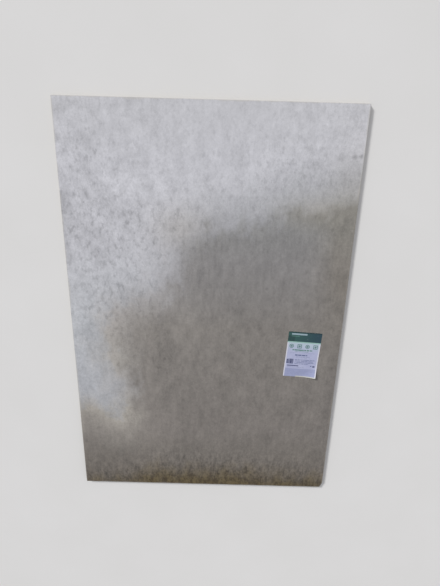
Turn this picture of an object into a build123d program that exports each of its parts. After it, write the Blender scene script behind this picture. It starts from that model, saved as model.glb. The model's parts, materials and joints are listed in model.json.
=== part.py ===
"""Fiber cement backer board: one flat sheet, face up, with its paper label on the face.

The origin is the middle of the sheet's back. X runs across the sheet, Y along it from its
foot to its head, and Z up through its thickness to the face. All sizes are in millimetres.
"""

import os
from math import cos, degrees, radians, sin, sqrt

from build123d import *

# The sheet, cut to a standard size
SHEET_WIDTH = 800.0
SHEET_LENGTH = 1200.0
SHEET_THICKNESS = 12.0
CORNER_RADIUS = 1.5  # wear on the three whole corners
ARRIS = 0.6  # long edges of the cuts, broken by handling

# The corner at the foot, on the right, that was knocked off in a fall
KNOCK_ACROSS = 6.0
KNOCK_ALONG = 13.0
KNOCK_BULGE = 1.2  # how far the break stands out from a straight cut
FLAKE_WIDTH = 4.0  # flake lost from the face beside the break
FLAKE_DEPTH = 2.5

# The label, die-cut from adhesive paper and stuck on by hand, a little askew
LABEL_WIDTH = 100.0
LABEL_LENGTH = 150.0
LABEL_THICKNESS = 0.15
LABEL_CORNER_RADIUS = 2.0
LABEL_FROM_RIGHT = 110.0  # right-hand edge of the sheet to the label's middle
LABEL_FROM_FOOT = 499.0  # foot of the sheet to the label's middle
LABEL_TURN = -3.0  # degrees, clockwise seen from above

# The label's lower right corner, peeled off the sheet and rolled up from a slanting fold
PEEL_REACH = 36.0  # paper from the fold to the corner's point
PEEL_RADIUS = 70.0
PEEL_STEPS = 6  # points that draw each edge of the rolled paper

os.makedirs("parts", exist_ok=True)

# The sheet: cut square at one thickness, then the damage of the knocked corner
right = SHEET_WIDTH / 2
head = SHEET_LENGTH / 2
break_way = Vector(KNOCK_ALONG, -KNOCK_ACROSS).normalized()
break_on_right = Vector(right, KNOCK_ALONG - head)
break_on_foot = Vector(right - KNOCK_ACROSS, -head)
break_chord = (break_on_right + break_on_foot) / 2
flake_plane = Plane(
    origin=break_chord - break_way * FLAKE_WIDTH + Vector(0, 0, SHEET_THICKNESS),
    z_dir=break_way * FLAKE_DEPTH + Vector(0, 0, FLAKE_WIDTH),
)

with BuildPart() as board:
    with BuildSketch():
        RectangleRounded(SHEET_WIDTH, SHEET_LENGTH, CORNER_RADIUS)
    extrude(amount=SHEET_THICKNESS)
    chamfer(board.faces().filter_by(Axis.Z).edges(), ARRIS)
    with BuildSketch():
        with BuildLine():
            ThreePointArc(break_on_foot, break_chord + break_way * KNOCK_BULGE, break_on_right)
            Polyline(
                break_on_right,
                break_on_right + (KNOCK_ACROSS, 0),
                break_on_foot + (2 * KNOCK_ACROSS, -KNOCK_ALONG),
                break_on_foot + (0, -KNOCK_ALONG),
                break_on_foot,
            )
        make_face()
    extrude(amount=SHEET_THICKNESS, mode=Mode.SUBTRACT)
    split(bisect_by=flake_plane, keep=Keep.BOTTOM)

board.part.label = "board"
export_step(board.part, "parts/board.step")

# The label lies on the face. Past the fold its corner is rolled up round a cylinder that
# touches the sheet along the fold, and each point keeps its distance along the paper.
label_on_face = Plane(
    origin=(right - LABEL_FROM_RIGHT, LABEL_FROM_FOOT - head, SHEET_THICKNESS),
    x_dir=(cos(radians(LABEL_TURN)), sin(radians(LABEL_TURN)), 0),
)
fold_middle = (
    LABEL_WIDTH / 2 - PEEL_REACH / sqrt(2),
    PEEL_REACH / sqrt(2) - LABEL_LENGTH / 2,
)
peel_way = (label_on_face.x_dir - label_on_face.y_dir).normalized()
fold_on_face = Plane(
    origin=label_on_face.from_local_coords((*fold_middle, 0)),
    x_dir=peel_way,
    z_dir=label_on_face.z_dir,
)
across_fold = Plane(
    origin=fold_on_face.origin,
    x_dir=peel_way,
    z_dir=peel_way.cross(label_on_face.z_dir),
)
fold_length = 2 * PEEL_REACH  # a 45 degree fold across a square corner


def rolled(along_paper, from_middle):
    """Return where a point of the flat corner lies in plan once the paper is rolled up."""
    return (PEEL_RADIUS * sin(along_paper / PEEL_RADIUS), from_middle)


edge_run = PEEL_REACH - LABEL_CORNER_RADIUS / sqrt(2)
edge_places = [edge_run * step / PEEL_STEPS for step in range(PEEL_STEPS + 1)]
upper_edge = [rolled(place, PEEL_REACH - place) for place in edge_places]
lower_edge = [rolled(place, place - PEEL_REACH) for place in reversed(edge_places)]
peeled_tip = rolled(PEEL_REACH - (sqrt(2) - 1) * LABEL_CORNER_RADIUS, 0)

with BuildPart() as label:
    with BuildSketch(across_fold):
        with BuildLine():
            roll_angle = degrees(PEEL_REACH / PEEL_RADIUS)
            underside = CenterArc((0, PEEL_RADIUS), PEEL_RADIUS, -90, roll_angle)
            topside = CenterArc((0, PEEL_RADIUS), PEEL_RADIUS - LABEL_THICKNESS, -90, roll_angle)
            Line(underside @ 0, topside @ 0)
            Line(underside @ 1, topside @ 1)
        make_face()
    extrude(amount=fold_length, both=True)
    with BuildSketch(fold_on_face):
        with BuildLine():
            Spline(upper_edge)
            ThreePointArc(upper_edge[-1], peeled_tip, lower_edge[0])
            Spline(lower_edge)
            Line(lower_edge[-1], upper_edge[0])
        make_face()
    extrude(amount=PEEL_RADIUS, both=True, mode=Mode.INTERSECT)
    with BuildSketch(label_on_face):
        RectangleRounded(LABEL_WIDTH, LABEL_LENGTH, LABEL_CORNER_RADIUS)
        with Locations(fold_middle):
            Rectangle(
                fold_length,
                fold_length,
                rotation=-45,
                align=(Align.MIN, Align.CENTER),
                mode=Mode.SUBTRACT,
            )
    extrude(amount=LABEL_THICKNESS)

label.part.label = "label"
export_step(label.part, "parts/label.step")
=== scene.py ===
"""A fiber cement backer board lying face up on a pale floor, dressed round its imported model."""

import json
import math
import random
from functools import partial

import bmesh
import bpy
import numpy as np
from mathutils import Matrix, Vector, noise
from mathutils.geometry import delaunay_2d_cdt

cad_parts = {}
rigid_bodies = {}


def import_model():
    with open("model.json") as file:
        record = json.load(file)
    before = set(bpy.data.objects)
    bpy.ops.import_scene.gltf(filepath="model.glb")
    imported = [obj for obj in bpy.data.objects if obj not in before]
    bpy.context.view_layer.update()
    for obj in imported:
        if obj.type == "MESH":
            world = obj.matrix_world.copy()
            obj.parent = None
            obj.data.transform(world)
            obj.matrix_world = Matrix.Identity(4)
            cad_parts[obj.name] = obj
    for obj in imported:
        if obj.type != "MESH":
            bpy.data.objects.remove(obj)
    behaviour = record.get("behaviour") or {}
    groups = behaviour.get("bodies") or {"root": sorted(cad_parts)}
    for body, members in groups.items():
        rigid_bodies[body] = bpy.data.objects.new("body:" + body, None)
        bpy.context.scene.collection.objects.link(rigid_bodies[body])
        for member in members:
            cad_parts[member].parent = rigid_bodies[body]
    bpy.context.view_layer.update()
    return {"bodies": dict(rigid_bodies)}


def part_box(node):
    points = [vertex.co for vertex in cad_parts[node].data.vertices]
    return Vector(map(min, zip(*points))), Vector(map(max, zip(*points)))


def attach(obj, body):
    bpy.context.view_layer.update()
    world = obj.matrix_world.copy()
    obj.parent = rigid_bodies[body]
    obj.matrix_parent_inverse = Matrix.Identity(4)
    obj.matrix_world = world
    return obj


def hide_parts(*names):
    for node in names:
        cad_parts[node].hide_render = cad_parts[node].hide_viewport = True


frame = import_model()
(whole_board,) = frame["bodies"]  # the one body, which the sheet and its label ride on

# The view. A phone held a little above the middle of the board, tipped down its length and
# hardly rolled. The board lies flat, so the same camera hangs over it and looks down.
MM = 0.001
CAMERA_PLACE = (32.9, 488.2, 1165.6)  # mm from the middle of the board's back
CAMERA_TURN = (-19.02, 0.37, 1.48)  # degrees about X, Y and Z
CAMERA_LENS = 26.03
CAMERA_NEAR = 0.01  # m, nearer than which nothing is drawn

camera = bpy.data.objects.new("camera", bpy.data.cameras.new("camera"))
camera.data.lens = CAMERA_LENS
camera.data.clip_start = CAMERA_NEAR
camera.location = Vector(CAMERA_PLACE) * MM
camera.rotation_euler = [math.radians(turn) for turn in CAMERA_TURN]
bpy.context.collection.objects.link(camera)
bpy.context.scene.camera = camera


# The studio. A matt pale floor under an even overcast sky, with one broad low light from
# beyond the head of the board, on its left, that lays soft shadows to its foot and its right.
def colour(hex_code):
    """Turn an sRGB hex colour to the linear colour that a shader takes."""
    parts = [int(hex_code[at : at + 2], 16) / 255 for at in (1, 3, 5)]
    return (*(p / 12.92 if p <= 0.04045 else ((p + 0.055) / 1.055) ** 2.4 for p in parts), 1.0)


def add_node(tree, kind, *ordered, **settings):
    """Add a shader node. Its inputs come in order or by name, as values, sockets or nodes."""
    made = tree.nodes.new("ShaderNode" + kind)
    by_name = {}
    for name, value in settings.items():
        if hasattr(made, name):
            setattr(made, name, value)
        else:
            by_name[name.replace("_", " ")] = value
    live = [socket for socket in made.inputs if socket.enabled]
    wanted = list(zip(live, ordered))
    wanted += [(next(s for s in live if s.name == name), value) for name, value in by_name.items()]
    for socket, value in wanted:
        if isinstance(value, bpy.types.Node):
            value = next(output for output in value.outputs if output.enabled)
        if isinstance(value, bpy.types.NodeSocket):
            tree.links.new(value, socket)
        else:
            socket.default_value = value
    return made


def start_material(name):
    """Start a material and return it with the function that adds a node to it."""
    material = bpy.data.materials.new(name)
    material.use_nodes = True
    material.node_tree.nodes.clear()
    return material, partial(add_node, material.node_tree)


FLOOR_SIDE = 40.0  # m
FLOOR_PALE, FLOOR_PALER = "#d6d4d0", "#dcdad7"
FLOOR_ROUGHNESS = 0.9
ROLLER_MARKS = 240.0  # mm between the faint marks that the roller left in the floor's paint
SUN_TURN = (-38.3, -49.8, 0.0)  # degrees about X and Y
SUN_STRENGTH = 2.7
SUN_SPREAD = 12.0  # degrees across, as broad as a big softbox
SKY_BLUE_WHITE, SKY_STRENGTH = "#f6f8ff", 0.58

floor_material, node = start_material("matt_painted_floor")
place = node("VectorMath", node("TexCoord").outputs["Object"], operation="SCALE", Scale=1 / MM)
marks = node("TexNoise", place, Scale=1 / ROLLER_MARKS, Detail=3.0)
paint = node("Mix", marks, colour(FLOOR_PALE), colour(FLOOR_PALER), data_type="RGBA")
node("OutputMaterial", node("BsdfPrincipled", Base_Color=paint, Roughness=FLOOR_ROUGHNESS))

side = FLOOR_SIDE / 2
floor_mesh = bpy.data.meshes.new("floor")
floor_corners = [(-side, -side, 0), (side, -side, 0), (side, side, 0), (-side, side, 0)]
floor_mesh.from_pydata(floor_corners, [], [(0, 1, 2, 3)])
floor_mesh.materials.append(floor_material)
floor = bpy.data.objects.new("floor", floor_mesh)
bpy.context.collection.objects.link(floor)

sun = bpy.data.objects.new("soft_sun", bpy.data.lights.new("soft_sun", "SUN"))
sun.data.energy = SUN_STRENGTH
sun.data.angle = math.radians(SUN_SPREAD)
sun.rotation_euler = [math.radians(turn) for turn in SUN_TURN]
bpy.context.collection.objects.link(sun)

sky = bpy.data.worlds.new("overcast_sky")
sky.use_nodes = True
sky.node_tree.nodes.clear()
light = add_node(sky.node_tree, "Background", colour(SKY_BLUE_WHITE), SKY_STRENGTH)
add_node(sky.node_tree, "OutputWorld", light)
bpy.context.scene.world = sky
bpy.context.scene.view_settings.view_transform = "Standard"

# The sheet's form. Thin wet plies of cement, silica and cellulose fibre are pressed into one
# flat sheet, cured in steam and cut square. The cuts are a little rough and have lost small
# chips along the arrises, and a fall has knocked off the corner at the foot on the right.
CORNER_RADIUS = 1.5  # mm, as every size from here on
ARRIS = 0.6
KNOCK_ACROSS = 6.0
KNOCK_ALONG = 13.0
KNOCK_BULGE = 1.2
FLAKE_WIDTH = 4.0
FLAKE_DEPTH = 2.5
EDGE_STEP = 2.5  # between points along the cut edges
FACE_STEP = 8.0
BACK_STEP = 60.0
FACE_RIM = (12.0, 8.0, 5.5, 4.0, 3.0, 2.2, 1.4)  # insets of the rows of points round the face
BACK_RIM = (4.0, 15.0)
CUT_ROWS = 7  # rows of points down the cut edge
MARK_RINGS = (0.7, 1.5)  # rings of points round a mark, as shares of its radius
CLOSEST = 0.05  # points of a loop that lie nearer together count as one
KEEP_INSIDE, FILL_ACCURACY = 1, 0.001  # what a fill keeps, and how exactly it is worked out
SHEET_SHARP = 28.0  # degrees between two faces from which their edge looks sharp

# Small dark marks in the face: place, radius and the share of light that each takes
MARKS = (
    (376, 472, 6, 0.42), (391, 474, 5, 0.42), (339, 281, 5, 0.26), (301, 220, 4, 0.18),
    (216, 127, 5, 0.13), (169, 106, 4, 0.18), (156, -19, 6, 0.22), (384, -144, 5, 0.36),
    (-248, 412, 4, 0.1), (-70, 396, 5, 0.12), (-16, 466, 5, 0.2), (-388, -436, 5, 0.3),
    (137, -530, 5, 0.4),
)

sheet_low, sheet_high = (np.array(corner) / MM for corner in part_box("board"))
left, foot, _ = sheet_low
right, head, thickness = sheet_high
break_way = np.array((KNOCK_ALONG, -KNOCK_ACROSS)) / math.hypot(KNOCK_ALONG, KNOCK_ACROSS)
break_on_right = np.array((right, foot + KNOCK_ALONG))
break_on_foot = np.array((right - KNOCK_ACROSS, foot))
break_chord = (break_on_right + break_on_foot) / 2


def straight(start, end, step=EDGE_STEP):
    """Points along a straight cut, without its end."""
    start, end = np.array(start), np.array(end)
    count = max(1, round(np.linalg.norm(end - start) / step))
    return [start + (end - start) * at / count for at in range(count)]


def round_corner(centre_x, centre_y, first_angle, radius=CORNER_RADIUS, count=3):
    """Points round a quarter circle, without its end."""
    angles = [math.radians(first_angle + 90 * at / count) for at in range(count)]
    centre = np.array((centre_x, centre_y))
    return [centre + radius * np.array((math.cos(angle), math.sin(angle))) for angle in angles]


def break_line(count=16):
    """Points along the bulging break at the knocked corner, without its end."""
    run = break_on_right - break_on_foot
    shares = [at / count for at in range(count)]
    bulges = [KNOCK_BULGE * (1 - (2 * share - 1) ** 2) for share in shares]
    return [break_on_foot + run * s + break_way * bulge for s, bulge in zip(shares, bulges)]


outline = np.array(
    straight(break_on_right, (right, head - CORNER_RADIUS))
    + round_corner(right - CORNER_RADIUS, head - CORNER_RADIUS, 0)
    + straight((right - CORNER_RADIUS, head), (left + CORNER_RADIUS, head))
    + round_corner(left + CORNER_RADIUS, head - CORNER_RADIUS, 90)
    + straight((left, head - CORNER_RADIUS), (left, foot + CORNER_RADIUS))
    + round_corner(left + CORNER_RADIUS, foot + CORNER_RADIUS, 180)
    + straight((left + CORNER_RADIUS, foot), break_on_foot)
    + break_line()
)


def inset(points, depth):
    """Draw an outline's points in from the cuts and from the break by the same depth."""
    drawn = np.clip(points, sheet_low[:2] + depth, sheet_high[:2] - depth)
    past = drawn @ break_way - (break_chord @ break_way + KNOCK_BULGE - depth)
    return drawn - np.outer(past.clip(min=0), break_way)


def fill(loop, step, extra=()):
    """Fill a loop with triangles on points a step apart. Returns points and triangles."""
    apart = np.linalg.norm(loop - np.roll(loop, 1, axis=0), axis=1)
    loop = loop[apart > CLOSEST]
    low, high = loop.min(0) + step / 2, loop.max(0) - step / 2
    columns, lines = np.ceil((high - low) / step).astype(int) + 1
    across = np.linspace(low[0], high[0], columns)
    grid = [(x, y) for y in np.linspace(low[1], high[1], lines) for x in across]
    well_inside = [point for point in extra if np.all((point > low) & (point < high))]
    flat = [Vector(point) for point in (*loop, *grid, *well_inside)]
    border = [list(range(len(loop)))]
    filled = delaunay_2d_cdt(flat, [], border, KEEP_INSIDE, FILL_ACCURACY)
    return np.array(filled[0]), [list(triangle) for triangle in filled[2]]


class Shell:
    """Points, faces and their finishes, gathered patch by patch and welded into one mesh."""

    def __init__(self):
        self.points, self.faces, self.finishes = [], [], []

    def add_patch(self, points, faces, finish):
        """Add a patch of faces on its own points."""
        start = len(self.points)
        self.points.extend(points)
        self.faces.extend([[start + corner for corner in face] for face in faces])
        self.finishes.extend([finish] * len(faces))

    def add_band(self, above, below, finish):
        """Join two closed rows of points with a band of faces."""
        count = len(above)
        pairs = [(at, (at + 1) % count) for at in range(count)]
        faces = [(at, count + at, count + after, after) for at, after in pairs]
        self.add_patch([*above, *below], faces, finish)

    def mesh(self, name, weld=0.02):
        """Weld the patches along their common points and return the mesh, still in mm."""
        made = bpy.data.meshes.new(name)
        made.from_pydata(np.array(self.points).tolist(), [], self.faces)
        made.polygons.foreach_set("material_index", self.finishes)
        welded = bmesh.new()
        welded.from_mesh(made)
        bmesh.ops.remove_doubles(welded, verts=welded.verts, dist=weld)
        loose = [vertex for vertex in welded.verts if not vertex.link_faces]
        bmesh.ops.delete(welded, geom=loose, context="VERTS")
        welded.to_mesh(made)
        welded.free()
        return made


def at_height(flat, height):
    """Lay points of the plan at a height."""
    return np.column_stack([flat, np.full(len(flat), height)])


FACE, CUT, BACK = 0, 1, 2
rows = [(inset(outline, depth), thickness, FACE) for depth in FACE_RIM]
rows += [(inset(outline, ARRIS), thickness, CUT)]
rows += [(outline, height, CUT) for height in np.linspace(thickness - ARRIS, ARRIS, CUT_ROWS)]
rows += [(inset(outline, depth), 0.0, BACK) for depth in (ARRIS, *BACK_RIM)]

sheet_shell = Shell()
for (above, above_height, finish), (below, below_height, _) in zip(rows, rows[1:]):
    sheet_shell.add_band(at_height(above, above_height), at_height(below, below_height), finish)
eighths = [math.tau * turn / 8 for turn in range(8)]
round_marks = [(x, y) for x, y, *_ in MARKS]
round_marks += [
    (x + radius * ring * math.cos(turn), y + radius * ring * math.sin(turn))
    for x, y, radius, _ in MARKS
    for ring in MARK_RINGS
    for turn in eighths
]
inner, triangles = fill(rows[0][0], FACE_STEP, round_marks)
sheet_shell.add_patch(at_height(inner, thickness), triangles, FACE)
inner, triangles = fill(rows[-1][0], BACK_STEP)
sheet_shell.add_patch(at_height(inner, 0.0), [face[::-1] for face in triangles], BACK)
sheet_mesh = sheet_shell.mesh("fibre_cement_sheet")
shape = np.array([vertex.co for vertex in sheet_mesh.vertices])
sound = shape.copy()

CUT_ROUGHNESS = 0.25
BREAK_ROUGHNESS = 0.9
BREAK_MARGIN = 0.5  # inside the break, over which the sheet is as rough as the break
TORN = 2.5  # size of the crumbs that a cut or a break tears out
FLAKE_ROUGHNESS, FLAKE_CRUMB = 0.3, 2.0
CHIPS, CHIP_SEED = 90, 41
CHIP_SIZES = (1.5, 7.0)  # radius of the scoop that a chip leaves
CHIP_BITES = (0.06, 0.2)  # shallowest and deepest bite, as shares of that radius
CHIPS_ON_FACE = 0.65  # share of the chips that are on the face's arris and not the back's


def rough(places, size, seed=0.0):
    """Noise from -1 to 1 at each place, with features of about that size."""
    drift = Vector((seed, 0, 0))
    return np.array([noise.noise(Vector(place) / size + drift) for place in places])


on_cut = (shape[:, 2] > ARRIS / 2) & (shape[:, 2] < thickness - ARRIS / 2)
past_cut = np.abs(shape[:, :2]) > sheet_high[:2] - CORNER_RADIUS
outward = np.where(past_cut, np.sign(shape[:, :2]), 0)
past_break = (shape[:, :2] - break_chord) @ break_way
broken = past_break > -BREAK_MARGIN
outward[broken] = break_way
bite = np.where(broken, BREAK_ROUGHNESS, CUT_ROUGHNESS) * np.abs(rough(shape, TORN))
shape[:, :2] -= outward * (bite * on_cut)[:, None]

flaked = past_break + FLAKE_WIDTH
flake_height = thickness - flaked * FLAKE_DEPTH / FLAKE_WIDTH
flake_height += FLAKE_ROUGHNESS * rough(shape, FLAKE_CRUMB, seed=9.0)
lost = (flaked > 0) & (shape[:, 2] > flake_height)
shape[lost, 2] = flake_height[lost]

chance = random.Random(CHIP_SEED)
for _ in range(CHIPS):
    at = chance.randrange(len(outline))
    along = outline[(at + 1) % len(outline)] - outline[at - 1]
    away = np.array((along[1], -along[0])) / np.linalg.norm(along)
    radius = chance.uniform(*CHIP_SIZES)
    lift = radius * (1 - chance.uniform(*CHIP_BITES)) / math.sqrt(2)
    height = thickness + lift if chance.random() < CHIPS_ON_FACE else -lift
    middle = np.array((*(outline[at] + away * lift), height))
    from_middle = shape - middle
    distance = np.linalg.norm(from_middle, axis=1)
    hit = distance < radius
    shape[hit] = middle + from_middle[hit] * (radius / distance[hit])[:, None]

sheet_mesh.vertices.foreach_set("co", (shape * MM).ravel())
sheet_mesh.polygons.foreach_set("use_smooth", [True] * len(sheet_mesh.polygons))
sheet_mesh.set_sharp_from_angle(angle=math.radians(SHEET_SHARP))

# The weather in the sheet. It has stood on its foot in the wet, so damp has risen from the
# foot, and further on the right, and rain has splashed soil up it. Each point of the sheet
# knows how far it lies inside the damp and the soil, and how stained, worn and chipped it is.

# The front of the damp: points on it, each with half the width over which it fades there
DAMP_FRONT = (
    (460, 376, 34), (370, 359, 32), (320, 342, 32), (260, 330, 32), (200, 312, 36), (140, 290, 42),
    (80, 277, 36), (20, 271, 32), (-28, 249, 46), (-68, 198, 58), (-90, 118, 56), (-108, 68, 64),
    (-150, 44, 72), (-200, 24, 80), (-234, -8, 84), (-243, -60, 92), (-245, -112, 74),
    (-241, -160, 46), (-233, -205, 38), (-228, -250, 38), (-224, -300, 48), (-222, -345, 72),
    (-238, -380, 94), (-270, -395, 106), (-312, -375, 108), (-356, -353, 104), (-390, -348, 96),
    (-460, -335, 90),
)
# How high the soil has splashed above the foot, at places across the sheet
SOIL_REACH = (
    (-400, 58), (-300, 64), (-235, 84), (-160, 110), (130, 114), (200, 100), (300, 96), (400, 82),
)
# Soft stains: place, half sizes across and along, and the share of light that they take. The
# ones below nothing are paler patches, where water has washed the sheet or dries from it.
STAINS = (
    (-300, 540, 20, 20, 0.05), (210, 540, 70, 30, -0.05), (-345, 500, 55, 45, 0.03),
    (-318, 490, 26, 22, 0.05), (-185, 470, 24, 22, 0.04), (-340, 460, 18, 18, 0.06),
    (-240, 455, 18, 22, 0.03), (398, 450, 24, 160, -0.06), (320, 430, 150, 60, 0.075),
    (-388, 420, 24, 40, 0.05), (180, 380, 60, 16, 0.04), (90, 345, 110, 26, 0.03),
    (-388, 342, 26, 44, 0.19), (-320, 330, 60, 75, 0.045), (-45, 310, 35, 35, -0.04),
    (140, 305, 24, 20, 0.05), (20, 302, 26, 18, 0.09), (-190, 292, 62, 38, 0.02),
    (-118, 285, 22, 20, 0.05), (-94, 279, 7, 11, 0.07), (-48, 277, 9, 9, 0.06),
    (-215, 275, 32, 24, 0.04), (-115, 275, 8, 14, 0.08), (-24, 275, 9, 12, 0.06),
    (-398, 260, 26, 140, 0.07), (8, 255, 12, 9, 0.08), (-12, 252, 8, 14, 0.06),
    (-20, 235, 45, 30, 0.02), (-220, 220, 20, 24, 0.04), (372, 180, 46, 160, 0.06),
    (-300, 180, 20, 24, 0.06), (-120, 175, 45, 35, -0.07), (-262, 160, 30, 50, -0.08),
    (-310, 120, 60, 140, 0.02), (-385, 100, 25, 35, -0.08), (-215, 75, 75, 28, 0.06),
    (-80, 20, 50, 40, -0.04), (-345, 20, 30, 80, -0.04), (145, -15, 16, 12, 0.06),
    (-50, -20, 50, 90, -0.15), (-178, -45, 30, 60, -0.12), (-62, -60, 40, 115, -0.06),
    (398, -60, 40, 400, 0.06), (-385, -60, 25, 30, 0.05), (-370, -70, 60, 70, 0.03),
    (-133, -90, 24, 90, 0.04), (-340, -100, 18, 30, 0.07), (90, -120, 40, 60, 0.03),
    (-120, -140, 30, 45, 0.05), (-198, -140, 26, 120, -0.04), (-90, -150, 60, 200, -0.03),
    (-186, -240, 18, 90, -0.05), (125, -245, 35, 35, -0.09), (-220, -250, 14, 120, 0.04),
    (-166, -250, 38, 210, -0.13), (398, -270, 24, 170, 0.07), (-385, -300, 25, 35, 0.06),
    (340, -310, 30, 40, -0.08), (-320, -320, 80, 25, 0.04), (-110, -340, 50, 60, -0.08),
    (240, -380, 45, 30, -0.04), (-170, -405, 60, 40, -0.09), (-395, -440, 25, 60, -0.12),
)
# Where handling has scuffed the face most: place, half sizes and strength
HANDLED = (
    (-330, 270, 90, 150, 1.0), (-190, 230, 80, 110, 0.9), (-270, 30, 110, 120, 0.8),
    (-320, 480, 60, 70, 0.8), (200, 440, 160, 70, 0.5), (-80, 300, 80, 60, 0.8),
    (-135, -110, 45, 90, 1.0), (75, -135, 25, 20, 0.7),
)
# Where the face has stayed most even, given the same way
EVEN = (
    (60, 560, 260, 70, 1.0), (20, 450, 170, 60, 0.7), (150, 130, 200, 150, 0.8),
    (-260, 520, 110, 60, 0.6),
)
# Where water has left a faint brown cast, given the same way
BROWNED = ((395, 210, 75, 190, 1.3), (290, 325, 90, 40, 0.8), (-75, 275, 75, 55, 0.55))
CHIPPED_DEPTH = 0.5  # of a bite that counts as a chip
PARTS = 60  # in which the points are measured against the front, to spare memory


def remember(mesh, name, values):
    """Keep a value for each point of a mesh, for its finish to read."""
    kept = mesh.attributes.new(name, "FLOAT", "POINT")
    kept.data.foreach_set("value", np.asarray(values, np.float32))


def rounded(line, rounds=3):
    """Round off the corners of a line of points by cutting each corner, several times over."""
    for _ in range(rounds):
        quarters = np.diff(line, axis=0) / 4
        cut = np.stack([line[:-1] + quarters, line[1:] - quarters], axis=1)
        line = np.vstack([line[:1], cut.reshape(-1, line.shape[1]), line[-1:]])
    return line


def inside_front(places, front):
    """How far each place is inside the front, in mm, and how widely the front fades there."""
    line, fades = front[:, :2], front[:, 2]
    starts, runs = line[:-1], np.diff(line, axis=0)
    shares = ((places[:, None] - starts) * runs).sum(2) / (runs**2).sum(1)
    shares = shares.clip(0, 1)
    nearest = starts + runs * shares[:, :, None]
    distances = np.linalg.norm(places[:, None] - nearest, axis=2)
    beside = (np.arange(len(places)), distances.argmin(1))
    fade = (fades[:-1] + np.diff(fades) * shares)[beside]
    distance = distances[beside]
    below_foot = ((line[-1][0], 2 * foot), (line[0][0], 2 * foot))
    border = np.vstack([line, below_foot])
    after = np.roll(border, -1, axis=0)
    x, y = places[:, :1], places[:, 1:]
    crosses = (border[:, 1] > y) != (after[:, 1] > y)
    rise = np.where(after[:, 1] == border[:, 1], 1, after[:, 1] - border[:, 1])
    meets = border[:, 0] + (y - border[:, 1]) * (after[:, 0] - border[:, 0]) / rise
    within = (crosses & (x < meets)).sum(1) % 2 == 1
    return np.column_stack([np.where(within, distance, -distance), fade])


def soft_spots(spots):
    """The sum of soft round spots at each point of the sheet."""
    total = np.zeros(len(sound))
    for x, y, across, along, strength in spots:
        squares = ((sound[:, 0] - x) / across) ** 2 + ((sound[:, 1] - y) / along) ** 2
        total += strength * np.exp(-squares)
    return total


front = rounded(np.array(DAMP_FRONT, float))
in_parts = np.array_split(sound[:, :2], PARTS)
damp = np.vstack([inside_front(part, front) for part in in_parts])
remember(sheet_mesh, "damp_depth", damp[:, 0])
remember(sheet_mesh, "damp_fade", damp[:, 1])
soil_reach = np.interp(sound[:, 0], *zip(*SOIL_REACH))
remember(sheet_mesh, "soil_depth", foot + soil_reach - sound[:, 1])
round_stains = [(x, y, radius, radius, strength) for x, y, radius, strength in MARKS]
stained = soft_spots((*STAINS, *round_stains)) * (sound[:, 2] > thickness / 2)
remember(sheet_mesh, "stained", stained)
remember(sheet_mesh, "handled", soft_spots(HANDLED))
remember(sheet_mesh, "even", soft_spots(EVEN))
remember(sheet_mesh, "browned", soft_spots(BROWNED))
remember(sheet_mesh, "from_arris", (sheet_high[:2] - np.abs(sound[:, :2])).min(1))
remember(sheet_mesh, "chipped", np.linalg.norm(shape - sound, axis=1) / CHIPPED_DEPTH)

# The sheet's finish. Fibre cement is a pale neutral grey, quite matt, with a fine sandy grain,
# pin holes, short cellulose fibres lying every way in its skin and dark scuffs from handling.
# Water turns it a warm, much darker grey with a slight sheen, and soil a brown olive.

# The greys of the dry, drying and damp sheet: each holds at a height, and they blend between
# They darken from the head to the foot. That is painted shade, as the sky lit the head of the
# sheet more than its foot, and in the damp it is also the wetter, dirtier cement near the foot.
DRY_GREYS = (
    (590, "#c0bfc1"), (450, "#c2c1c4"), (230, "#bdbcbf"), (0, "#b5b6b8"), (-220, "#aeafb2"),
)
DRYING_GREYS = (
    (360, "#a3a3a4"), (280, "#a3a2a4"), (120, "#a4a2a3"), (0, "#a49f9a"), (-140, "#a39e97"),
    (-220, "#a19e9c"), (-310, "#a39d94"),
)
DAMP_GREYS = (
    (300, "#868583"), (180, "#83807e"), (60, "#7f7b77"), (-20, "#7c7771"), (-380, "#77716b"),
    (-460, "#726c65"), (-560, "#69625a"), (-600, "#625b52"),
)
DRYING_SHARE = 0.45  # of the way from dry to damp
SHOULDER = 150.0  # beyond the front, over which the sheet is just a little damp
SHOULDER_SHARE = 0.4  # of the change from dry to damp that has happened by then
BROWN_CAST = "#fffaef"
SOIL_DARK, SOIL_OLIVE = "#3f3217", "#5f5234"
SOIL_SOFTNESS = 115.0  # over which the soil thickens
SOIL_MOST = 0.95  # share of the cement that it hides at its thickest
SPLASH_REACH = 60.0  # above and below the soil's edge, over which dirty runs set in
FRESH_DRY, FRESH_WET = "#bdb8ae", "#8d877d"  # cement that the weather hasn't reached
FRESH_SHOWN = 0.5  # share of it that a chip shows, and a deeper one more
WORN_WIDTHS = (10.0, 6.8)  # where the wear of an arris starts and is at its most
WORN_WANDER = 12.0  # most that the patches take off those widths
WORN_MOST = 0.36
DRY_ROUGHNESS, DAMP_ROUGHNESS = 0.93, 0.72
CEMENT_IOR = 1.5
PIN_HOLE_APART, PIN_HOLE_RADIUS = 15.0, 0.8
PIN_HOLE_FLOOR = 0.4  # share of the radius over which a hole is at its deepest

# Patterns in the skin: width and length of their features, turn in degrees and finer layers.
# The grain and the fibres are drawn coarser than the real ones, to show.
PATTERNS = {
    "clouds": (150, 190, 0, 1),
    "patches": (44, 60, 0, 2),
    "mottle": (21, 28, 0, 3),
    "sand": (6, 8, 0, 1),
    "grain": (2.8, 3.2, 0, 1),
    "fibres": (0.9, 10, 22, 1),
    "crossed fibres": (0.9, 8, 84, 1),
    "slanting fibres": (0.9, 9, 143, 1),
    "scuffs": (13, 23, 0, 3),
    "streaks": (13, 95, 0, 2),
    "runs": (8, 22, 0, 1),
}
LAYER_SHARE = 0.6  # how strong each finer layer is, next to the one before
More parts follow.
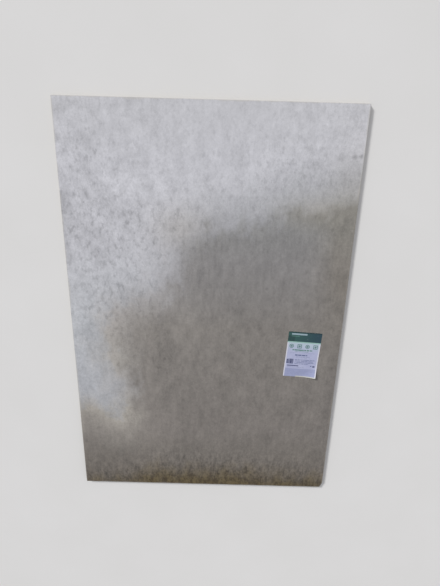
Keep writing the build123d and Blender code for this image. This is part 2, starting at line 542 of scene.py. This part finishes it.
# What the patterns do: the light that they take or give in the skin, in the damp and where dirt
# is splashed, as shares, how far they move the front and the soil, in mm, and how they mix the
# soil's two colours
SKIN_DEPTHS = {
    "clouds": 0.03, "patches": 0.31, "mottle": 0.5, "sand": 0.24, "grain": 0.2,
    "fibres": 0.11, "crossed fibres": 0.11, "slanting fibres": 0.11,
}
STREAK_DEPTHS = {"streaks": 0.27, "runs": 0.15}
FRONT_WANDER = {"patches": 130.0, "mottle": 60.0, "scuffs": 20.0}
SOIL_WANDER = {"streaks": 15.0, "mottle": 25.0, "patches": 80.0}
SOIL_BLOTCHES = {"scuffs": 2.2, "patches": 1.6, "sand": 1.8, "runs": 2.0}
SPLASH_DEPTHS = {"runs": 1.2, "sand": 0.6, "scuffs": 1.2}
SCUFF_DEPTH = 0.31  # light that a scuff takes at its most, as a share
SCUFF_EDGES = (0.5, 0.72)  # of the pattern, between which a scuff sets in
SCUFF_PATCHES = 0.9  # how strongly the scuffs gather in patches
SCUFF_CLUSTERS = (0.35, 1.5)  # of handling and patches together, between which they gather
SCUFF_LEAST = 0.3  # share of the scuffs that the whole face has
PIN_HOLE_DEPTH = 0.3
UNEVEN_SHARE, EVEN_SHARE = 1.1, 0.58  # of the skin's patterns that shows
# How high the patterns stand in the pressed face, the sawn cuts and the felt's back, in mm
PRESSED_HEIGHTS = {
    "grain": 0.22, "mottle": 0.35, "fibres": 0.1, "crossed fibres": 0.1, "pin holes": -0.4,
}
SAWN_HEIGHTS = {"grain": 0.6}
FELTED_HEIGHTS = {"grain": 0.2}
PLY, PLY_RUN, PLY_HEIGHT = 0.9, 40.0, 0.5  # thickness, length of its even stretches, relief
WEAVE, WEAVE_WAVER, WEAVE_HEIGHT = 6.0, 1.5, 0.18  # scale with its ribs 2.7 mm apart, sway, relief


def by_height(node, high, greys):
    """Blend greys, each at its height on the sheet, from the head down."""
    blend = colour(greys[0][1])
    for (above, _), (below, grey) in zip(greys, greys[1:]):
        share = node("MapRange", high, above, below, 0.0, 1.0)
        blend = node("Mix", share, blend, colour(grey), data_type="RGBA")
    return blend


def varied(node, value, patterns, amounts):
    """Add to a value the patterns of the skin, each centred on nothing, by the given amounts."""
    for pattern, amount in amounts.items():
        centred = node("Math", patterns[pattern], 0.5, operation="SUBTRACT")
        value = node("Math", centred, amount, value, operation="MULTIPLY_ADD")
    return value


def how_damp(node, known, patterns):
    """The share of damp: an edge with a soft shoulder beyond it, both wandering to and fro."""
    inside = varied(node, known["damp_depth"], patterns, FRONT_WANDER)
    outside_fade = node("Math", known["damp_fade"], -1.0, operation="MULTIPLY")
    edge = (inside, outside_fade, known["damp_fade"], 0.0, 1.0 - SHOULDER_SHARE)
    edge = node("MapRange", *edge, interpolation_type="SMOOTHSTEP")
    shoulder = (inside, -SHOULDER, 0.0, 0.0, SHOULDER_SHARE)
    shoulder = node("MapRange", *shoulder, interpolation_type="SMOOTHSTEP")
    return node("Math", edge, shoulder, operation="ADD")


def cement_body(node, high, damp, browned, cast):
    """The body colour, from dry through drying to damp, with a brown cast here and there."""
    # painted shade: the greys darken towards the foot, as the sky lit the head of the sheet more
    dry = by_height(node, high, DRY_GREYS)
    dry = node("Mix", 1.0, dry, colour(cast), data_type="RGBA", blend_type="MULTIPLY")
    drying = node("MapRange", damp, 0.0, DRYING_SHARE, 0.0, 1.0)
    body = node("Mix", drying, dry, by_height(node, high, DRYING_GREYS), data_type="RGBA")
    soaked = node("MapRange", damp, DRYING_SHARE, 1.0, 0.0, 1.0)
    body = node("Mix", soaked, body, by_height(node, high, DAMP_GREYS), data_type="RGBA")
    brown = {"data_type": "RGBA", "blend_type": "MULTIPLY"}
    return node("Mix", browned, body, colour(BROWN_CAST), **brown)


def soiled(node, body, known, patterns):
    """Blotchy soil over the body, splashed up from the ground and thickest along the foot."""
    depth = varied(node, known["soil_depth"], patterns, SOIL_WANDER)
    share = (depth, 0.0, SOIL_SOFTNESS, 0.0, SOIL_MOST)
    share = node("MapRange", *share, interpolation_type="SMOOTHSTEP")
    blotches = varied(node, 0.5, patterns, SOIL_BLOTCHES)
    soil = node("Mix", blotches, colour(SOIL_DARK), colour(SOIL_OLIVE), data_type="RGBA")
    return node("Mix", share, body, soil, data_type="RGBA")


def freshly_broken(node, body, known, patterns, damp):
    """Paler cement in the chips and, here and there, along the worn arrises."""
    worn = (patterns["patches"], WORN_WANDER, known["from_arris"])
    worn = node("Math", *worn, operation="MULTIPLY_ADD")
    worn = node("MapRange", worn, *WORN_WIDTHS, 0.0, WORN_MOST)
    chipped = node("Math", known["chipped"], FRESH_SHOWN, operation="MULTIPLY", use_clamp=True)
    fresh = node("Math", worn, chipped, operation="MAXIMUM")
    cement = node("Mix", damp, colour(FRESH_DRY), colour(FRESH_WET), data_type="RGBA")
    return node("Mix", fresh, body, cement, data_type="RGBA")


def how_light(node, known, patterns, damp):
    """The share of light that the skin gives back, with its stains, scuffs and streaks."""
    skin = varied(node, 0.0, patterns, SKIN_DEPTHS)
    shown = node("MapRange", known["even"], 0.0, 1.0, UNEVEN_SHARE, EVEN_SHARE)
    light = node("Math", skin, shown, 1.0, operation="MULTIPLY_ADD")
    light = node("Math", light, known["stained"], operation="SUBTRACT")
    clusters = (patterns["patches"], SCUFF_PATCHES, known["handled"])
    clusters = node("Math", *clusters, operation="MULTIPLY_ADD")
    clusters = node("MapRange", clusters, *SCUFF_CLUSTERS, SCUFF_LEAST, 1.0)
    scuffs = node("MapRange", patterns["scuffs"], *SCUFF_EDGES, 0.0, SCUFF_DEPTH)
    scuffs = node("Math", scuffs, clusters, operation="MULTIPLY")
    light = node("Math", light, scuffs, operation="SUBTRACT")
    streaks = varied(node, 0.0, patterns, STREAK_DEPTHS)
    light = node("Math", streaks, damp, light, operation="MULTIPLY_ADD")
    splashed = node("MapRange", known["soil_depth"], -SPLASH_REACH, SPLASH_REACH, 0.0, 1.0)
    splashes = varied(node, 0.0, patterns, SPLASH_DEPTHS)
    light = node("Math", splashes, splashed, light, operation="MULTIPLY_ADD")
    return node("Math", patterns["pin holes"], -PIN_HOLE_DEPTH, light, operation="MULTIPLY_ADD")


def weathered_cement(name, cast, relief):
    """Finish the cement with a cast to its greys, a relief of its own and the weather."""
    material, node = start_material(name)
    place = node("VectorMath", node("TexCoord").outputs["Object"], operation="SCALE", Scale=1 / MM)
    high = node("SeparateXYZ", place).outputs["Y"]
    known = {
        kept: node("Attribute", attribute_name=kept).outputs["Fac"]
        for kept in (
            "damp_depth", "damp_fade", "soil_depth", "stained", "handled", "even", "browned",
            "from_arris", "chipped",
        )
    }
    patterns = {}
    for pattern, (width, length, turn, layers) in PATTERNS.items():
        sizes = {"Rotation": (0, 0, math.radians(turn)), "Scale": (width, length, width)}
        laid = node("Mapping", place, vector_type="TEXTURE", **sizes)
        finer = {"Detail": layers, "Roughness": LAYER_SHARE}
        patterns[pattern] = node("TexNoise", laid, Scale=1.0, **finer)
    from_hole = node("TexVoronoi", place, Scale=1 / PIN_HOLE_APART)
    rim = PIN_HOLE_RADIUS / PIN_HOLE_APART
    patterns["pin holes"] = node("MapRange", from_hole, PIN_HOLE_FLOOR * rim, rim, 1.0, 0.0)

    damp = how_damp(node, known, patterns)
    body = cement_body(node, high, damp, known["browned"], cast)
    light = how_light(node, known, patterns, damp)
    body = node("VectorMath", body, operation="SCALE", Scale=light)
    body = soiled(node, body, known, patterns)
    body = freshly_broken(node, body, known, patterns, damp)
    roughness = node("MapRange", damp, 0.0, 1.0, DRY_ROUGHNESS, DAMP_ROUGHNESS)
    bump = node("Bump", Strength=1.0, Distance=MM, Height=relief(node, place, patterns))
    look = {"Base_Color": body, "Roughness": roughness, "Normal": bump, "IOR": CEMENT_IOR}
    node("OutputMaterial", node("BsdfPrincipled", **look))
    return material


def pressed_relief(node, place, patterns):
    """The face: a sandy skin with fibres and pin holes in it, in mm."""
    return varied(node, 0.0, patterns, PRESSED_HEIGHTS)


def sawn_relief(node, place, patterns):
    """The cuts: the edges of the thin plies, torn a little by the blade, in mm."""
    plies = node("Mapping", place, Scale=(PLY_RUN, PLY_RUN, PLY), vector_type="TEXTURE")
    plies = node("TexNoise", plies, Scale=1.0, Detail=2.0, Roughness=LAYER_SHARE)
    height = node("Math", plies, PLY_HEIGHT, operation="MULTIPLY")
    return varied(node, height, patterns, SAWN_HEIGHTS)


def felt_relief(node, place, patterns):
    """The back: the weave of the felt that carried the wet plies, pressed into them, in mm."""
    weave = {"Scale": 1 / WEAVE, "Distortion": WEAVE_WAVER, "Detail": 1.0}
    weave = node("TexWave", place, bands_direction="DIAGONAL", **weave).outputs["Fac"]
    height = node("Math", weave, WEAVE_HEIGHT, operation="MULTIPLY")
    return varied(node, height, patterns, FELTED_HEIGHTS)


# The plate has pressed the face smooth, the saw has bared a slightly warmer cement, and the felt
# has left the back a shade darker
for name, cast, relief in (
    ("steam_cured_fibre_cement_face", "#ffffff", pressed_relief),
    ("sawn_fibre_cement_edge", "#f4f1ea", sawn_relief),
    ("felt_marked_fibre_cement_back", "#eeeeee", felt_relief),
):
    sheet_mesh.materials.append(weathered_cement(name, cast, relief))

sheet = bpy.data.objects.new("backer_board_sheet", sheet_mesh)
bpy.context.collection.objects.link(sheet)
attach(sheet, whole_board)
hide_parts("board")

# The label. Coated adhesive paper is printed, die-cut with round corners and stuck on by hand,
# a little askew. Damp has cockled it, and its lower right corner has let go and rolled up.
LABEL_WIDTH, LABEL_LENGTH = 100.0, 150.0
LABEL_CORNER = 2.0
LABEL_THICKNESS = 0.15
LABEL_MIDDLE = (290.0, -101.0)
LABEL_TURN = -3.0  # degrees, clockwise seen from above
PEEL_REACH = 36.0  # paper from the fold to the corner's point
PEEL_RADIUS = 70.0
ADHESIVE = 0.02  # film between the sheet and the paper
COCKLE = 0.3  # highest that the damp has lifted the paper
COCKLE_WAVE = (22.0, 60.0)
PAPER_STEP = 1.6  # between points of the paper
CORNER_POINTS = 5  # round each corner
LABEL_SHARP = 40.0

half_label = np.array((LABEL_WIDTH, LABEL_LENGTH)) / 2
peel_way = np.array((1, -1)) / math.sqrt(2)
fold_middle = half_label * (1, -1) - peel_way * PEEL_REACH


def on_sheet(paper, lift):
    """Lay points of the flat paper on the sheet, its corner rolled up, at a lift off its back."""
    past = (paper - fold_middle) @ peel_way
    angle = past.clip(min=0) / PEEL_RADIUS
    place = paper + np.outer((PEEL_RADIUS - lift) * np.sin(angle) - past.clip(min=0), peel_way)
    height = PEEL_RADIUS - (PEEL_RADIUS - lift) * np.cos(angle)
    waves = rough(at_height(paper / COCKLE_WAVE, 0.0), 1.0, seed=3.0)
    height += COCKLE * waves.clip(min=0)
    turn = math.radians(LABEL_TURN)
    across = np.array((math.cos(turn), math.sin(turn)))
    along = np.array((-across[1], across[0]))
    flat = np.outer(place[:, 0], across) + np.outer(place[:, 1], along) + LABEL_MIDDLE
    return np.column_stack([flat, thickness + ADHESIVE + height])


low_x, low_y = LABEL_CORNER - half_label
high_x, high_y = half_label - LABEL_CORNER
edge_x, edge_y = half_label
label_outline = np.array(
    straight((edge_x, low_y), (edge_x, high_y), PAPER_STEP)
    + round_corner(high_x, high_y, 0, LABEL_CORNER, CORNER_POINTS)
    + straight((high_x, edge_y), (low_x, edge_y), PAPER_STEP)
    + round_corner(low_x, high_y, 90, LABEL_CORNER, CORNER_POINTS)
    + straight((-edge_x, high_y), (-edge_x, low_y), PAPER_STEP)
    + round_corner(low_x, low_y, 180, LABEL_CORNER, CORNER_POINTS)
    + straight((low_x, -edge_y), (high_x, -edge_y), PAPER_STEP)
    + round_corner(high_x, low_y, 270, LABEL_CORNER, CORNER_POINTS)
)
PRINTED, PAPER_BACK = 0, 1
TOP, UNDER = 1.0, 0.0
paper, triangles = fill(label_outline, PAPER_STEP)
label_shell = Shell()
label_shell.add_patch(at_height(paper, TOP), triangles, PRINTED)
label_shell.add_band(at_height(label_outline, TOP), at_height(label_outline, UNDER), PAPER_BACK)
label_shell.add_patch(at_height(paper, UNDER), [face[::-1] for face in triangles], PAPER_BACK)
label_mesh = label_shell.mesh("die_cut_label", weld=0.001)
flat_label = np.array([vertex.co for vertex in label_mesh.vertices])
plan, on_top = flat_label[:, :2], flat_label[:, 2:] == TOP
laid = np.where(on_top, on_sheet(plan, LABEL_THICKNESS), on_sheet(plan, 0.0))
label_mesh.vertices.foreach_set("co", (laid * MM).ravel())
label_mesh.polygons.foreach_set("use_smooth", [True] * len(label_mesh.polygons))
label_mesh.set_sharp_from_angle(angle=math.radians(LABEL_SHARP))
remember(label_mesh, "from_left", plan[:, 0] + half_label[0])
remember(label_mesh, "from_top", half_label[1] - plan[:, 1])

# The label's print. Matt coated paper, a cool white gone lavender with damp, with a dark green
# band across its head. Everything printed on it is plain bars, blocks and signs.
PAPER_WHITE, PAPER_DAMP, PAPER_DRIER = "#c9c8d2", "#a3a6c2", "#aeb1c9"
# The pale cream of the paper's edge is partly a margin and partly painted light on the lifted edge
LIT_PAPER_EDGE, PANEL_TINT, MINT_TINT, MINT = "#bcbbb4", "#8f94b2", "#acbdc2", "#91b2a9"
BAND_GREEN, BAND_TEAL, BAND_SHADE = "#2a504b", "#223f49", "#182f31"
BAR_PALE, BAR_GREEN, SIGN_GREEN = "#a3b6bf", "#6f9a8b", "#5d7b79"
INK_BLUE, INK_GREY, INK_GREEN, INK_FAINT = "#3f4566", "#626a8b", "#507a6c", "#8389ad"
PAPER_FIBRE, FIBRE_HEIGHT = 1.2, 0.03  # real ones are finer
PAPER_ROUGHNESS, PAPER_IOR = 0.55, 1.5
DRYING_PATCH, DRYING_EDGES = 30.0, (0.3, 0.7)  # where the paper has dried unevenly
MINT_FADE, MINT_MOST = (36.0, 68.0), 0.8  # down the paper, where its mint tint fades out
TEAL_REACH = (20.0, 90.0)  # across the band, where it turns from green to teal
RUB, RUBBED_EDGES, RUBBED_MOST = 7.0, (0.69, 0.77), 0.4  # spots where ink is rubbed off
RUB_LAYER_SHARE = 0.65
WEAR_EDGES, WEAR_SHADES = (0.25, 0.75), (0.95, 1.05)  # a slight unevenness of the print

# Printed blocks: left, top, right and foot in mm from the label's top left corner, with the ink
# and its strength. The margins are left white, and a label is 100 mm across and 150 mm down.
# The pale strip along the foot, from where the corner lifts, is partly a margin and partly
# painted light that the lifted edge catches.
BLOCKS = (
    (0, 122, 100, 150, PANEL_TINT, 0.85), (0, 32, 3.4, 150, PAPER_WHITE, 1.0),
    (96.5, 32, 100, 150, PAPER_WHITE, 1.0), (38, 146.8, 100, 150, LIT_PAPER_EDGE, 1.0),
    (0, 32, 100, 35.5, MINT, 1.0), (5, 91, 8.5, 105.5, INK_BLUE, 1.0),
    (8, 110.8, 43, 114.4, INK_BLUE, 0.85), (79, 109.5, 83, 113.5, INK_GREY, 1.0),
    (86, 110.5, 93, 115, INK_BLUE, 1.0),
)
BAND = (0, 0, 100, 32)
ON_BAND = (
    (0, 0, 100, 3.5, BAND_SHADE, 0.8), (0, 13, 21, 32, BAND_SHADE, 0.5),
    (10, 5.2, 56, 10.2, BAR_PALE, 0.75), (10, 14, 34, 15.4, BAR_GREEN, 0.6),
)
# Lines of short bars: left, middle from the top, right, height, ink and strength
BAR_LINES = (
    (18, 59.5, 78, 3.8, INK_GREEN, 1.0), (26, 64.5, 68, 1.8, INK_GREEN, 0.6),
    (12, 69, 86, 1.2, INK_GREY, 0.4), (28, 76.5, 66, 4.4, INK_GREY, 1.0),
    (32, 82.5, 74, 1.8, INK_GREY, 0.6), (32, 86.5, 66, 1.2, INK_GREY, 0.4),
    (30, 92, 90, 2.2, INK_GREY, 0.9), (30, 96.5, 86, 2.2, INK_GREY, 0.9),
    (30, 101, 90, 2.2, INK_GREY, 0.9), (30, 105.5, 72, 2.0, INK_GREY, 0.9),
    (8, 118, 60, 1.4, INK_GREY, 0.5), (10, 126.5, 60, 1.4, INK_FAINT, 0.6),
    (10, 131, 88, 1.4, INK_FAINT, 0.6), (10, 135.5, 74, 1.4, INK_FAINT, 0.6),
    (10, 140, 84, 1.4, INK_FAINT, 0.5),
)
BAR_PITCH = 4.2  # about the length of a bar and its gap
BAR_EDGES, GAP_SHARE = (0.36, 0.44), 0.25  # where a bar sets in, and the ink in the gaps
LINE_SHIFT = 17.3  # along the noise for each line, so that no two are alike
UPRIGHTS, UPRIGHT_WIDTH = (9, 90, 26, 106.5), 0.9
UPRIGHT_LEVEL = 0.4  # of the noise, past which an upright is printed
SIGN_ROW, SIGN_START, SIGN_PITCH, SIGN_MIDDLE = (3, 38, 97, 56), 2.0, 24.0, 47.0
SIGN_SIZE, SIGN_LINE, SIGN_DOT = 5.6, 1.1, 3.2

printed_paper, node = start_material("coated_label_paper")
across = node("Attribute", attribute_name="from_left").outputs["Fac"]
down = node("Attribute", attribute_name="from_top").outputs["Fac"]
spot = node("CombineXYZ", across, down, 0.0)


def inked(under, mask, ink, strength=1.0):
    """Print an ink, a hex colour or a node, over the paper where a mask is 1."""
    share = node("Math", mask, strength, operation="MULTIPLY")
    ink = ink if isinstance(ink, bpy.types.Node) else colour(ink)
    return node("Mix", share, under, ink, data_type="RGBA")


def block(block_left, top, block_right, block_foot):
    """A mask that is 1 inside a printed block."""
    middles = (block_left + block_right) / 2, (top + block_foot) / 2
    halves = (block_right - block_left) / 2, (block_foot - top) / 2
    in_width = node("Math", across, middles[0], halves[0], operation="COMPARE")
    in_height = node("Math", down, middles[1], halves[1], operation="COMPARE")
    return node("Math", in_width, in_height, operation="MULTIPLY")


dried = node("TexNoise", spot, Scale=1 / DRYING_PATCH, Detail=3.0, Roughness=LAYER_SHARE)
dried = node("MapRange", dried, *DRYING_EDGES, 0.0, 1.0)
printed = node("Mix", dried, colour(PAPER_DAMP), colour(PAPER_DRIER), data_type="RGBA")
printed = inked(printed, node("MapRange", down, *MINT_FADE, MINT_MOST, 0.0), MINT_TINT)
for *edges, ink, strength in BLOCKS:
    printed = inked(printed, block(*edges), ink, strength)
to_teal = node("MapRange", across, *TEAL_REACH, 0.0, 1.0)
band = node("Mix", to_teal, colour(BAND_GREEN), colour(BAND_TEAL), data_type="RGBA")
printed = inked(printed, block(*BAND), band)
for *edges, ink, strength in ON_BAND:
    printed = inked(printed, block(*edges), ink, strength)

# The lines of bars: each is broken up by its own stretch of noise
for line, (start, middle, end, tall, ink, strength) in enumerate(BAR_LINES):
    run = node("Math", across, 1 / BAR_PITCH, LINE_SHIFT * line, operation="MULTIPLY_ADD")
    short_bars = node("TexNoise", W=run, Scale=1.0, Detail=1.0, noise_dimensions="1D")
    short_bars = node("MapRange", short_bars, *BAR_EDGES, GAP_SHARE, 1.0)
    in_line = block(start, middle - tall / 2, end, middle + tall / 2)
    mask = node("Math", in_line, short_bars, operation="MULTIPLY")
    printed = inked(printed, mask, ink, strength)

# A block of upright bars of uneven widths
run = node("Math", across, 1 / UPRIGHT_WIDTH, operation="MULTIPLY")
bars = node("TexNoise", W=run, Scale=1.0, Detail=0.0, noise_dimensions="1D")
bars = node("Math", bars, UPRIGHT_LEVEL, operation="GREATER_THAN")
bars = node("Math", bars, block(*UPRIGHTS), operation="MULTIPLY")
printed = inked(printed, bars, INK_BLUE)

# A row of four plain signs, rings and squares by turns, each round a dot
along_row = node("Math", across, SIGN_START, operation="SUBTRACT")
in_cell = node("Math", along_row, SIGN_PITCH, operation="FLOORED_MODULO")
from_middle = node("Math", in_cell, SIGN_PITCH / 2, operation="SUBTRACT")
below_middle = node("Math", down, SIGN_MIDDLE, operation="SUBTRACT")
from_sign = node("CombineXYZ", from_middle, below_middle, 0.0)
to_ring = node("VectorMath", from_sign, operation="LENGTH").outputs["Value"]
sides = node("SeparateXYZ", node("VectorMath", from_sign, operation="ABSOLUTE"))
to_square = node("Math", sides.outputs["X"], sides.outputs["Y"], operation="MAXIMUM")
in_pair = node("Math", along_row, 2 * SIGN_PITCH, operation="FLOORED_MODULO")
squared = node("Math", in_pair, SIGN_PITCH, operation="GREATER_THAN")
to_line = node("Mix", squared, to_ring, to_square, data_type="FLOAT")
sign = node("Math", to_line, SIGN_SIZE, SIGN_LINE, operation="COMPARE")
dot = node("Math", to_ring, SIGN_DOT, operation="LESS_THAN")
sign = node("Math", sign, dot, operation="MAXIMUM")
sign = node("Math", sign, block(*SIGN_ROW), operation="MULTIPLY")
printed = inked(printed, sign, SIGN_GREEN)

# Rubbing and dust: worn spots of bare paper, and a slight unevenness over the whole print
grime = node("TexNoise", spot, Scale=1 / RUB, Detail=3.0, Roughness=RUB_LAYER_SHARE)
rubbed = node("MapRange", grime, *RUBBED_EDGES, 0.0, RUBBED_MOST)
printed = inked(printed, rubbed, PAPER_WHITE)
wear = node("MapRange", grime, *WEAR_EDGES, *WEAR_SHADES)
printed = node("VectorMath", printed, operation="SCALE", Scale=wear)
fibres = node("TexNoise", spot, Scale=1 / PAPER_FIBRE, Detail=2.0)
bump = node("Bump", Strength=1.0, Distance=FIBRE_HEIGHT * MM, Height=fibres)
look = {"Base_Color": printed, "Roughness": PAPER_ROUGHNESS, "Normal": bump, "IOR": PAPER_IOR}
node("OutputMaterial", node("BsdfPrincipled", **look))
label_mesh.materials.append(printed_paper)

# The label's back and cut edge. Bare white paper under a film of adhesive that has picked up
# cement dust, so it is duller than the front and a little shiny.
DUST_GREY, DUST_PALE = "#c9c7c2", "#dcdbd8"
DUST_CLOT = 4.0
ADHESIVE_ROUGHNESS = 0.5

paper_back, node = start_material("dusty_label_adhesive")
place = node("VectorMath", node("TexCoord").outputs["Object"], operation="SCALE", Scale=1 / MM)
dust = node("TexNoise", place, Scale=1 / DUST_CLOT, Detail=3.0)
tone = node("Mix", dust, colour(DUST_GREY), colour(DUST_PALE), data_type="RGBA")
look = {"Base_Color": tone, "Roughness": ADHESIVE_ROUGHNESS, "IOR": PAPER_IOR}
node("OutputMaterial", node("BsdfPrincipled", **look))
label_mesh.materials.append(paper_back)

label = bpy.data.objects.new("paper_label", label_mesh)
bpy.context.collection.objects.link(label)
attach(label, whole_board)
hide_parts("label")
